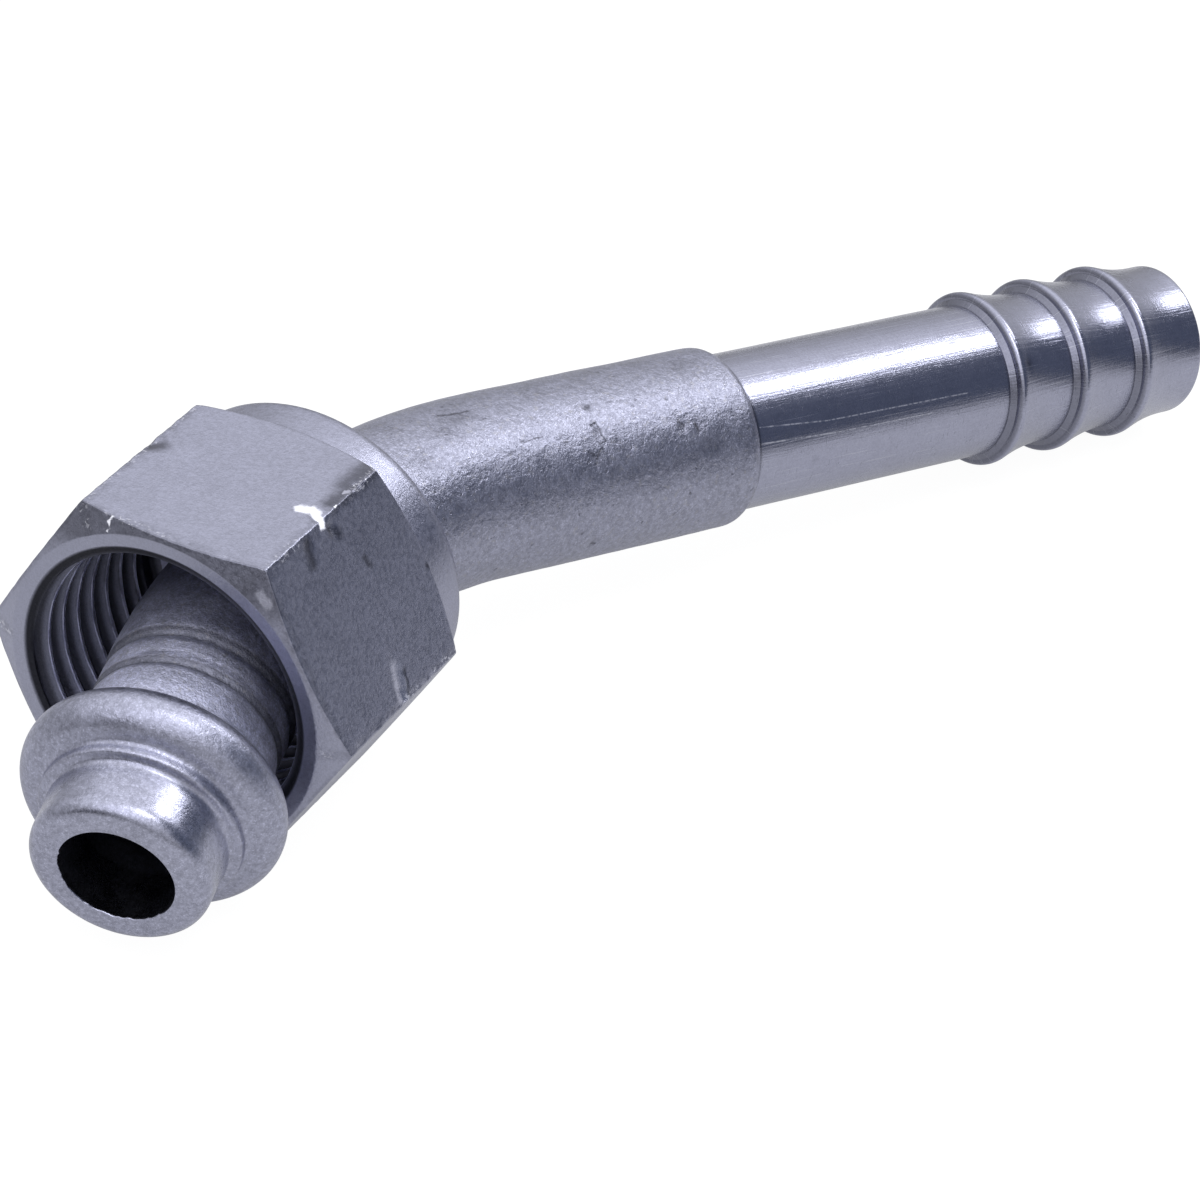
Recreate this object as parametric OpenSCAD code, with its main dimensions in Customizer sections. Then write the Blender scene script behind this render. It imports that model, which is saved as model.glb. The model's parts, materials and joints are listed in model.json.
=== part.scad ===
// Air conditioning hose fitting: a 45 degree elbow tube with a formed, beaded head,
// a loose hexagon swivel nut, and a turned hose stem with three barbs.
// It lies on Z = 0 as it comes to rest: on a flat of the nut, the bead and the last barb.
// The nut's axis is level along Y, its open face looks along -Y, and the origin is the
// middle of the flat that it rests on.

/* [Swivel nut] */
// Hexagon size across the flats (7/8 in)
nut_af = 22.225; // [20.5:0.025:24]
// Length of the hexagon
nut_hex_len = 14.6; // [13.6:0.1:18]
// Diameter of the turned collar behind the hexagon
nut_collar_d = 21.7; // [20:0.1:22]
// Length of the collar
nut_collar_len = 3.2; // [1.5:0.1:4]
// Rounding of the collar's rear edge
nut_collar_round = 0.8; // [0.3:0.1:1.2]
// Diameter at which the front chamfer meets the open face
nut_face_d = 21.6; // [20.6:0.1:22]
// How far the front chamfer runs back at the six corners
nut_front_drop = 0.8; // [0.4:0.1:1.5]
// How far the rear chamfer runs forward at the six corners
nut_rear_drop = 1.1; // [0.4:0.1:1.5]

/* [Thread] */
// Outer diameter of the internal thread (3/4 in, 16 to the inch)
thread_d = 19.05; // [18.5:0.05:19.5]
// Thread pitch
thread_pitch = 1.5875; // [1.25:0.0125:1.75]
// How much wider the nut is bored than the thread's basic minor diameter
minor_over = 0.17; // [0.05:0.01:0.3]
// Diameter of the countersunk mouth
nut_mouth_d = 20; // [19.6:0.1:20.4]
// Depth of the relief behind the thread over the thread's own diameter
relief_over = 0.2; // [0:0.1:0.6]
// Length of the relief, from the last thread to the seat
relief_len = 1.5; // [1.2:0.1:2.4]
// Angle between the seat and the nut's axis
seat_angle = 60; // [45:1:80]

/* [Elbow tube] */
// Outer diameter of the tube
tube_d = 12.4; // [11.8:0.1:12.8]
// Wall of the tube
tube_wall = 1.7; // [1.2:0.1:2.4]
// Bend radius, to the middle of the tube
bend_r = 38.5; // [34:0.5:46]
// Angle of the bend
bend_angle = 44; // [38:1:50]
// Straight length from the bend to the socket end
elbow_len = 18.4; // [14:0.1:24]
// Straight length from the bend to the tip
head_len = 15.2; // [14.6:0.1:18]
// Rounding of the socket end
elbow_round = 0.9; // [0.4:0.1:1.2]

/* [Head] */
// Diameter of the pilot
pilot_d = 11.4; // [11:0.1:11.8]
// Length of the pilot, with its nose
pilot_len = 4; // [3.2:0.1:4.2]
// Rounding of the nose
nose_round = 1; // [0.4:0.1:1.4]
// Diameter of the bore at the tip
tip_bore_d = 7.3; // [6.4:0.1:8]
// Length of the narrow bore
tip_bore_len = 9; // [6:0.5:11]
// Diameter of the step between the pilot and the bead
step_d = 12.8; // [12.2:0.1:13.4]
// Diameter of the neck between the bead and the bend
neck_d = 12.2; // [11.8:0.1:12.4]
// Diameter of the rolled bead
bead_d = 16.7; // [16:0.1:17.2]
// Width of the bead
bead_w = 3.5; // [2.8:0.1:4]
// Distance from the tip to the middle of the bead
bead_at = 6.65; // [6.2:0.05:7]
// Depth of the two rolled grooves behind the bead
groove_depth = 0.3; // [0.1:0.05:0.45]
// Distance from the tip to the first groove
groove_at = 12; // [11.4:0.1:12.4]
// Distance from one groove to the next
groove_pitch = 2.4; // [1.4:0.1:2.5]
// Width of each groove
groove_w = 0.6; // [0.3:0.1:0.9]

/* [Hose stem] */
// Diameter of the stem
stem_d = 10.8; // [10:0.1:11]
// Diameter of the bore through the stem
stem_bore_d = 8; // [7:0.1:8.4]
// Length of the stem outside its socket
stem_len = 39.9; // [36:0.1:50]
// Depth of the socket
socket_len = 9; // [6:0.5:12]
// Brazing gap round the stem in its socket
braze_gap = 0.05; // [0.02:0.01:0.1]
// Rounding of the stem's tip
stem_round = 0.3; // [0.2:0.1:0.9]

/* [Barbs] */
// Number of barbs
barb_count = 3; // [2:1:4]
// Diameter over the barbs
barb_d = 12.7; // [12.6:0.1:13.4]
// Diameter between the barbs
barb_root_d = 10.8; // [10.2:0.1:11.2]
// Distance from one barb to the next
barb_pitch = 5.8; // [5:0.05:7]
// Distance from the stem's tip to the foot of the first barb's flank
barb_at = 6.5; // [5.9:0.1:8]
// Length of each barb's flank, from its foot to the crest
barb_flank = 0.7; // [0.4:0.1:1.2]
// Flat land on each barb's crest
barb_land = 0.3; // [0.2:0.05:0.6]
// Length of each barb's slope
barb_slope = 4.7; // [3.4:0.1:4.7]

/* [Rest] */
// Room all round the tube in the nut's rear hole
tube_play = 0.75; // [0.65:0.05:0.95]
// Length of the narrow stretch of the rear hole
hole_land = 2.4; // [1.8:0.1:3]
// Angle round the bend at which the nut has come to rest
nut_at = 20.8; // [18:0.1:24]
// Angle in plan between the nut's axis and the tube inside it
nut_cock = 6.5; // [3:0.1:7.5]
// Gap that is left where the tube leans on the rear hole
rest_gap = 0.1; // [0.05:0.05:0.3]

/* [Hidden] */
$fn = 96;
// Cuts run this far past the faces they open
over = 1;
// Straight stretches are this much slimmer than the bend, and run this far into it, so
// that the two surfaces meet cleanly
eps = 0.05;
lap = 0.3;

nut_len = nut_hex_len + nut_collar_len;
nut_corner_d = nut_af / cos(30);
thread_minor_d = thread_d - 1.0825 * thread_pitch + minor_over;
mouth_depth = (nut_mouth_d - thread_minor_d) / 2;
relief_d = thread_d + relief_over;
hole_d = tube_d + 2 * tube_play;
hole_round = 0.4;
hole_mid = nut_len - hole_round - hole_land / 2;
seat_start = hole_mid - hole_land / 2 - (relief_d - hole_d) / 2 / tan(seat_angle);
thread_end = seat_start - relief_len;
tube_bore_d = tube_d - 2 * tube_wall;
fillet = 0.4;
slope_steps = 8;
flank_steps = 5;

// The tube's own frame: the bend starts at 0 and turns in XY from +Y towards +X, about
// the point (bend_r, 0). The head runs along -Y from 0, and the stem leaves the far end.
function on_bend(a) = bend_r * [1 - cos(a), sin(a)];
function along(a) = [sin(a), cos(a)];
bead_pt = [0, bead_at - head_len];
nut_pt = on_bend(nut_at);
last_barb = barb_at - barb_flank - barb_land / 2;
barb_pt = on_bend(bend_angle) + along(bend_angle) * (elbow_len + stem_len - last_barb);

// Which way is up in the tube's frame, when its middle line lies at heights h_bead and
// h_barb at those places, and level with the nut's axis inside the nut.
function up_for(h_bead, h_barb) =
    let (
        p = bead_pt - nut_pt, q = barb_pt - nut_pt,
        dp = h_bead - nut_af / 2, dq = h_barb - nut_af / 2,
        det = p.x * q.y - p.y * q.x,
        ux = (dp * q.y - dq * p.y) / det, uy = (p.x * dq - q.x * dp) / det
    ) [ux, uy, sqrt(1 - ux * ux - uy * uy)];
// Heights of the middle line at which the tilted bead and barb just touch the ground
function across(u, d) = sqrt(1 - pow(u.x * d.x + u.y * d.y, 2));
function bead_height(u) = bead_w / 2 + (bead_d - bead_w) / 2 * across(u, [0, 1]);
function barb_height(u) = barb_d / 2 * across(u, along(bend_angle))
    + barb_land / 2 * abs(u.x * sin(bend_angle) + u.y * cos(bend_angle));
function settle(u, passes) =
    passes == 0 ? u : settle(up_for(bead_height(u), barb_height(u)), passes - 1);
up = settle(up_for(bead_d / 2, barb_d / 2), 4);

// The nut's axis in the tube's frame: level, and turned nut_cock from the tube inside it
tangent = [sin(nut_at), cos(nut_at), 0];
level = tangent - (tangent * up) * up;
ahead = level / norm(level);
aside = cross(ahead, up);
nut_y = cos(nut_cock) * ahead - sin(nut_cock) * aside;
nut_x = cos(nut_cock) * aside + sin(nut_cock) * ahead;
tube_turn = [nut_x, nut_y, up];
// Inside the hole the tube leans over until it is rest_gap from the land's rear end
lean_x = hole_land / 2 * tan(nut_cock) + pow(hole_land / 2, 2) / (2 * bend_r);
lean_angle = nut_cock + hole_land / 2 / bend_r * 180 / PI;
tube_side = hole_d / 2 - rest_gap - lean_x - tube_d / 2 / cos(lean_angle);
tube_shift = [tube_side, hole_mid - nut_hex_len / 2, nut_af / 2]
    - tube_turn * [nut_pt.x, nut_pt.y, 0];

// Places its children, drawn in the tube's frame, where the tube lies
module lay_tube() {
    multmatrix([for (i = [0:2]) [for (j = [0:2]) tube_turn[i][j], tube_shift[i]]])
        children();
}

// Moves its children from the start of the bend to its end
module after_bend() {
    translate([bend_r, 0, 0]) rotate([0, 0, -bend_angle]) translate([-bend_r, 0, 0])
        children();
}

// Turns a profile, drawn with x as radius and y as length, about the Y axis
module turned() {
    rotate([-90, 0, 0]) rotate_extrude() children();
}

// A filled profile from y0 to y1 out to radius r
module band(r, y0, y1) {
    translate([0, y0]) square([r, y1 - y0]);
}

// A band whose outer edge at y1 is rounded by the radius c
module rounded_band(r, y0, y1, c) {
    band(r, y0, y1 - c);
    band(r - c, y0, y1);
    translate([r - c, y1 - c]) circle(r = c);
}

// Concave fillet of radius c between a band of radius r and a wall at y, on the side dir
module inner_fillet(r, y, c, dir) {
    difference() {
        translate([r - 0.01, dir > 0 ? y - 0.01 : y - c]) square([c + 0.01, c + 0.01]);
        translate([r + c, y + dir * c]) circle(r = c);
    }
}

module bend(d) {
    translate([bend_r, 0, 0]) rotate([0, 0, 180 - bend_angle])
        rotate_extrude(angle = bend_angle) translate([bend_r, 0]) circle(d = d);
}

// Swivel nut

// Hexagon with its corners turned off at both ends, from its open face at y = 0
module nut_hexagon() {
    intersection() {
        rotate([-90, 0, 0]) cylinder(h = nut_hex_len, d = nut_corner_d, $fn = 6);
        turned() polygon([
            [0, 0],
            [nut_face_d / 2, 0],
            [nut_corner_d / 2, nut_front_drop],
            [nut_corner_d / 2, nut_hex_len - nut_rear_drop],
            [nut_collar_d / 2, nut_hex_len],
            [0, nut_hex_len]
        ]);
    }
}

module nut_collar() {
    turned() rounded_band(nut_collar_d / 2, nut_hex_len - over, nut_len, nut_collar_round);
}

// Countersunk mouth, thread bore, relief, seat and the rear hole that holds the bead back
module nut_bore() {
    turned() polygon([
        [0, -over],
        [nut_mouth_d / 2 + over, -over],
        [nut_mouth_d / 2, 0],
        [thread_minor_d / 2, mouth_depth],
        [thread_minor_d / 2, thread_end],
        [relief_d / 2, thread_end + (relief_d - thread_minor_d) / 2],
        [relief_d / 2, seat_start],
        [hole_d / 2, hole_mid - hole_land / 2],
        [hole_d / 2, nut_len - hole_round],
        [hole_d / 2 + hole_round, nut_len],
        [hole_d / 2 + hole_round, nut_len + over],
        [0, nut_len + over]
    ]);
}

module swivel_nut() {
    color([0.62, 0.62, 0.67])
        translate([0, -nut_hex_len / 2, nut_af / 2])
            difference() {
                union() {
                    nut_hexagon();
                    nut_collar();
                }
                nut_bore();
            }
}

// Elbow tube

// Profile of the formed head, from the tip at y = 0 to the bend
module head_profile() {
    r = neck_d / 2;
    bead_c = [(bead_d - bead_w) / 2, bead_at];
    difference() {
        union() {
            mirror([0, 1]) rounded_band(pilot_d / 2, -bead_at, 0, nose_round);
            inner_fillet(pilot_d / 2, pilot_len, fillet, -1);
            band(step_d / 2, pilot_len, bead_at);
            band(r, bead_at, head_len + lap);
            band(bead_c.x, bead_at - bead_w / 2, bead_at + bead_w / 2);
            translate(bead_c) circle(d = bead_w);
            inner_fillet(r, bead_at + bead_w / 2, fillet, 1);
        }
        for (i = [0:1])
            translate([r + groove_w / 2 - groove_depth, groove_at + i * groove_pitch])
                circle(d = groove_w);
    }
}

// The passage from the tip through the bend to the floor of the socket, and the socket
module passage() {
    bore_r = tube_bore_d / 2 - eps;
    translate([0, -head_len, 0]) turned() polygon([
        [0, -over],
        [tip_bore_d / 2, -over],
        [tip_bore_d / 2, tip_bore_len],
        [bore_r, tip_bore_len + bore_r - tip_bore_d / 2],
        [bore_r, head_len + lap],
        [0, head_len + lap]
    ]);
    bend(tube_bore_d);
    after_bend() turned() {
        band(bore_r, -lap, elbow_len);
        band(stem_d / 2 + braze_gap, elbow_len - socket_len, elbow_len + over);
    }
}

module elbow_tube() {
    color([0.66, 0.66, 0.7])
        lay_tube() difference() {
            union() {
                translate([0, -head_len, 0]) turned() head_profile();
                bend(tube_d);
                after_bend() turned()
                    rounded_band(tube_d / 2 - eps, -lap, elbow_len, elbow_round);
            }
            passage();
        }
}

// Hose stem

// One barb: a steep, rounded flank towards the elbow, a narrow land, and a slope that
// flattens out towards the tip. The flank's foot is at y = 0 and the tip is along +y.
module barb_profile() {
    root = barb_root_d / 2;
    rise = barb_d / 2 - root;
    crest_end = barb_flank + barb_land;
    polygon([
        [0, 0],
        for (i = [0:flank_steps])
            [root + rise * sin(90 * i / flank_steps),
             barb_flank * (1 - cos(90 * i / flank_steps))],
        for (i = [0:slope_steps])
            [root + rise * pow(1 - i / slope_steps, 2),
             crest_end + barb_slope * i / slope_steps],
        [0, crest_end + barb_slope]
    ]);
}

module stem_profile() {
    difference() {
        union() {
            band(stem_d / 2, -socket_len, stem_len - barb_at);
            rounded_band(barb_root_d / 2, stem_len - barb_at - (barb_count - 1) * barb_pitch,
                stem_len, stem_round);
            for (i = [0:barb_count - 1])
                translate([0, stem_len - barb_at - i * barb_pitch]) barb_profile();
        }
        band(stem_bore_d / 2, -socket_len - over, stem_len + over);
    }
}

module hose_stem() {
    color([0.8, 0.8, 0.84])
        lay_tube() after_bend() translate([0, elbow_len, 0]) turned() stem_profile();
}

swivel_nut();
elbow_tube();
hose_stem();
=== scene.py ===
import json
import math

import bpy
import numpy as np
from mathutils import Matrix, Vector, noise


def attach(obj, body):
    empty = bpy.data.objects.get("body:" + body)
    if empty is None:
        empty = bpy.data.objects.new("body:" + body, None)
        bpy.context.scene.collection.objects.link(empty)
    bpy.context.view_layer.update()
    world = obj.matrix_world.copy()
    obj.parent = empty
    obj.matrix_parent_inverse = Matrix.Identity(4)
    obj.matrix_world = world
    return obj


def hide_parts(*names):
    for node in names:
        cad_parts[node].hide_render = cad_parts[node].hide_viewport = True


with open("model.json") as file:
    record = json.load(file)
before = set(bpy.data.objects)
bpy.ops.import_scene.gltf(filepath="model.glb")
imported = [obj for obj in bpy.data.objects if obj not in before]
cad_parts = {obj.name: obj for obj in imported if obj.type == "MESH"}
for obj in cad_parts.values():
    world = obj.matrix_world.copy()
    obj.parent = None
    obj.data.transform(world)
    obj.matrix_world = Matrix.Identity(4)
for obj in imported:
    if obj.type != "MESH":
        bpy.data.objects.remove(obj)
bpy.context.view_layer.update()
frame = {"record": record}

mm = 0.001
mounts = {m["name"]: m for m in frame["record"]["mounts"]}


def unit(v):
    v = np.array(v, float)
    return v / np.linalg.norm(v)


def polar(azimuth, elevation):
    # azimuth 0 is +Y and 90 is +X
    a, e = math.radians(azimuth), math.radians(elevation)
    return np.array([math.sin(a) * math.cos(e), math.cos(a) * math.cos(e), math.sin(e)])


# camera, fitted to the photograph

shot = {
    "place": (107.037, -179.339, 163.464),
    "right": (0.881473, 0.465474, 0.079625),
    "forward": (-0.339527, 0.741876, -0.578223),
    "focalPixels": 4181.6,
    "framePixels": 1200,
    "sensor": 36,
    "nearest": 0.01,
    "farthest": 20,
}


def makeCamera():
    data = bpy.data.cameras.new("photoCamera")
    camera = bpy.data.objects.new("photoCamera", data)
    bpy.context.scene.collection.objects.link(camera)
    data.sensor_width = shot["sensor"]
    data.lens = shot["focalPixels"] / shot["framePixels"] * shot["sensor"]
    data.clip_start = shot["nearest"]
    data.clip_end = shot["farthest"]
    back = -unit(shot["forward"])
    right = unit(shot["right"])
    up = np.cross(back, right)
    rows = [[right[i], up[i], back[i], shot["place"][i] * mm] for i in range(3)]
    camera.matrix_world = Matrix(rows + [[0, 0, 0, 1]])
    bpy.context.scene.camera = camera


makeCamera()
print("camera ready")


# shader helpers

class Wire:
    # one socket of a node tree, with arithmetic
    def __init__(self, net, socket):
        self.net = net
        self.socket = socket

    def __add__(self, other):
        return self.net.math("ADD", self, other)

    def __radd__(self, other):
        return self.net.math("ADD", other, self)

    def __sub__(self, other):
        return self.net.math("SUBTRACT", self, other)

    def __rsub__(self, other):
        return self.net.math("SUBTRACT", other, self)

    def __mul__(self, other):
        return self.net.math("MULTIPLY", self, other)

    def __rmul__(self, other):
        return self.net.math("MULTIPLY", other, self)


class Net:
    def __init__(self, tree):
        self.tree = tree
        tree.nodes.clear()

    def node(self, kind, settings=None, sockets=None, out=0):
        made = self.tree.nodes.new("ShaderNode" + kind)
        for name, value in (settings or {}).items():
            setattr(made, name, value)
        for name, value in (sockets or {}).items():
            self.feed(made.inputs[name], value)
        return Wire(self, made.outputs[out]) if len(made.outputs) else None

    def feed(self, socket, value):
        if isinstance(value, Wire):
            self.tree.links.new(value.socket, socket)
        elif hasattr(value, "__len__") and len(value) == 3 and socket.type == "RGBA":
            socket.default_value = (*value, 1)
        else:
            socket.default_value = value

    def math(self, kind, first, second=0.0):
        return self.node("Math", {"operation": kind}, {0: first, 1: second})

    def low(self, first, second):
        return self.math("MINIMUM", first, second)

    def high(self, first, second):
        return self.math("MAXIMUM", first, second)

    def step(self, value, start, end):
        # 0 at start and 1 at end, eased
        return self.node("MapRange", {"interpolation_type": "SMOOTHSTEP"},
                         {"Value": value, "From Min": start, "From Max": end})

    def band(self, value, middle, inner, outer):
        # 1 within inner of the middle, 0 beyond outer
        return 1 - self.step(self.math("ABSOLUTE", value - middle), inner, outer)

    def mix(self, share, first, second):
        return self.node("Mix", {"data_type": "RGBA"}, {0: share, 6: first, 7: second}, 2)

    def vector(self, kind, first, second=(0, 0, 0), out=0):
        return self.node("VectorMath", {"operation": kind}, {0: first, 1: second}, out)

    def scaled(self, place, factor):
        return self.node("VectorMath", {"operation": "SCALE"}, {0: place, "Scale": factor})

    def stretched(self, place, factors):
        return self.vector("MULTIPLY", place, factors)

    def dot(self, first, second):
        return self.vector("DOT_PRODUCT", first, second, 1)

    def length(self, place):
        return self.vector("LENGTH", place, out=1)

    def joined(self, x, y, z):
        return self.node("CombineXYZ", None, {0: x, 1: y, 2: z})

    def parts(self, place):
        first = self.node("SeparateXYZ", None, {0: place})
        return [Wire(self, output) for output in first.socket.node.outputs]

    def millimetres(self):
        # the object's own coordinates, in millimetres
        return self.scaled(self.node("TexCoord", out=3), 1000)

    def stored(self, name, out=2):
        return self.node("Attribute", {"attribute_name": name}, out=out)

    def cloud(self, place, scale, detail=2.0, rough=0.5):
        return self.node("TexNoise", None, {"Vector": place, "Scale": scale, "Detail": detail,
                                            "Roughness": rough})

    def cells(self, place, scale):
        return self.node("TexVoronoi", None, {"Vector": place, "Scale": scale})

    def ragged(self, place, grain, scale, reach):
        # a place pushed about by noise, so that what is drawn on it gets rough edges
        push = self.node("TexNoise", None, {"Vector": grain, "Scale": scale}, 1)
        moved = self.vector("ADD", place, self.scaled(push, reach))
        return self.vector("SUBTRACT", moved, (reach / 2,) * 3)

    def toLine(self, place, start, end):
        # distance from a place to the short line between two points
        start = np.array(start, float)
        along = np.array(end, float) - start
        fromStart = self.vector("SUBTRACT", place, tuple(start))
        span = max(float(along @ along), 1e-6)
        share = self.low(self.high(self.dot(fromStart, tuple(along / span)), 0.0), 1.0)
        return self.length(self.vector("SUBTRACT", fromStart, self.scaled(tuple(along), share)))

    def marks(self, place, lines, inner=0.6, outer=1.3):
        # 1 on short lines given as start, end and half width, 0 away from them
        mask = 0.0
        for start, end, half in lines:
            away = self.toLine(place, start, end)
            mask = self.high(mask, 1 - self.step(away, half * inner, half * outer))
        return mask

    def rays(self):
        # 1 for the camera's rays, and 1 for rays that metal or glass sends on
        camera = self.node("LightPath")
        mirrored = self.low(self.node("LightPath", out=3) + self.node("LightPath", out=6), 1.0)
        return camera, mirrored

    def bump(self, height, distance):
        return self.node("Bump", None, {"Height": height, "Distance": distance, "Strength": 1.0})


def newMaterial(name):
    material = bpy.data.materials.new(name)
    material.use_nodes = True
    return material, Net(material.node_tree)


def finishMetal(net, sockets):
    shader = net.node("BsdfPrincipled", None, {"Metallic": 1.0, **sockets})
    net.node("OutputMaterial", None, {"Surface": shader})


# profile helpers: a profile is a list of (distance, radius) in millimetres

def line(path, end, step=0.5):
    start = path[-1]
    count = max(1, math.ceil(math.dist(start, end) / step))
    for i in range(1, count + 1):
        t = i / count
        path.append((start[0] + (end[0] - start[0]) * t, start[1] + (end[1] - start[1]) * t))


def arc(path, centre, radius, start, end, step=0.1):
    # from one angle to another in degrees, where 0 is towards larger distances
    count = max(3, math.ceil(abs(math.radians(end - start)) * radius / step))
    for i in range(count + 1):
        a = math.radians(start + (end - start) * i / count)
        point = (centre[0] + radius * math.cos(a), centre[1] + radius * math.sin(a))
        if not path or math.dist(point, path[-1]) > 0.005:
            path.append(point)


def hump(x):
    # 1 at 0, easing to 0 at -1 and 1
    x = np.clip(np.abs(x), 0, 1)
    return 0.5 + 0.5 * np.cos(math.pi * x)


def ease(x):
    x = np.clip(x, 0, 1)
    return x * x * (3 - 2 * x)


def roll(points, scale, seed, size):
    # smooth noise between about -size and size, one value a point
    shift = Vector((seed, seed * 1.7, -seed))
    return np.array([noise.noise(Vector(p) * scale + shift) for p in points]) * size


def press(angle, along, dents, radius):
    # depth of the dents round a turned piece, at angles and distances along it
    degrees = np.degrees(angle)[None, :]
    depths = np.zeros(along.shape)
    for at, turn, halfLength, halfWidth, depth in dents:
        across = (np.mod(degrees - turn + 180, 360) - 180) * math.radians(1) * radius
        depths += depth * np.exp(-((along - at) / halfLength) ** 2 - (across / halfWidth) ** 2)
    return depths


def ringMesh(name, rings, attributes, sharp):
    # rings: (count, around, 3) in millimetres, closed both ways
    count, around = rings.shape[:2]
    i, j = np.meshgrid(np.arange(count), np.arange(around), indexing="ij")
    here, there = i * around, (i + 1) % count * around
    nextJ = (j + 1) % around
    faces = np.stack([here + j, there + j, there + nextJ, here + nextJ], -1).reshape(-1, 4)
    mesh = bpy.data.meshes.new(name)
    mesh.from_pydata((rings.reshape(-1, 3) * mm).tolist(), [], faces.tolist())
    for key, values in attributes.items():
        values = np.asarray(values, np.float32)
        isVector = values.ndim == 3
        layer = mesh.attributes.new(key, "FLOAT_VECTOR" if isVector else "FLOAT", "POINT")
        layer.data.foreach_set("vector" if isVector else "value", values.ravel())
    mesh.shade_smooth()
    mesh.set_sharp_from_angle(angle=math.radians(sharp))
    piece = bpy.data.objects.new(name, mesh)
    bpy.context.scene.collection.objects.link(piece)
    return piece


# the tube's middle line: straight head, bend, straight elbow

route = {
    "bendRadius": 38.5,
    "headLength": 15.2,
    "elbowLength": 18.4,
    "pilotMountFromTip": 2.3,
}
headAxis = unit(mounts["pilot"]["axis"])
stemAxis = unit(mounts["hose_barbs"]["axis"])
tipPlace = np.array(mounts["pilot"]["pos_m"]) / mm + headAxis * route["pilotMountFromTip"]
tubeY = -headAxis
tubeX = unit(stemAxis - (stemAxis @ tubeY) * tubeY)
tubeZ = np.cross(tubeX, tubeY)
bendAngle = math.acos(stemAxis @ tubeY)
bendLength = bendAngle * route["bendRadius"]
tubeLength = route["headLength"] + bendLength + route["elbowLength"]


def alongTube(distance):
    # middle line, direction and inward side at distances from the tip
    s = np.asarray(distance, float) - route["headLength"]
    a = np.clip(s, 0, bendLength) / route["bendRadius"]
    before = np.minimum(s, 0)
    after = np.maximum(s - bendLength, 0)
    x = route["bendRadius"] * (1 - np.cos(a)) + after * np.sin(a)
    y = route["bendRadius"] * np.sin(a) + before + after * np.cos(a) + route["headLength"]
    centre = tipPlace + x[:, None] * tubeX + y[:, None] * tubeY
    direction = np.sin(a)[:, None] * tubeX + np.cos(a)[:, None] * tubeY
    return centre, direction, np.cross(direction, tubeZ)


# elbow tube with its formed head

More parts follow.
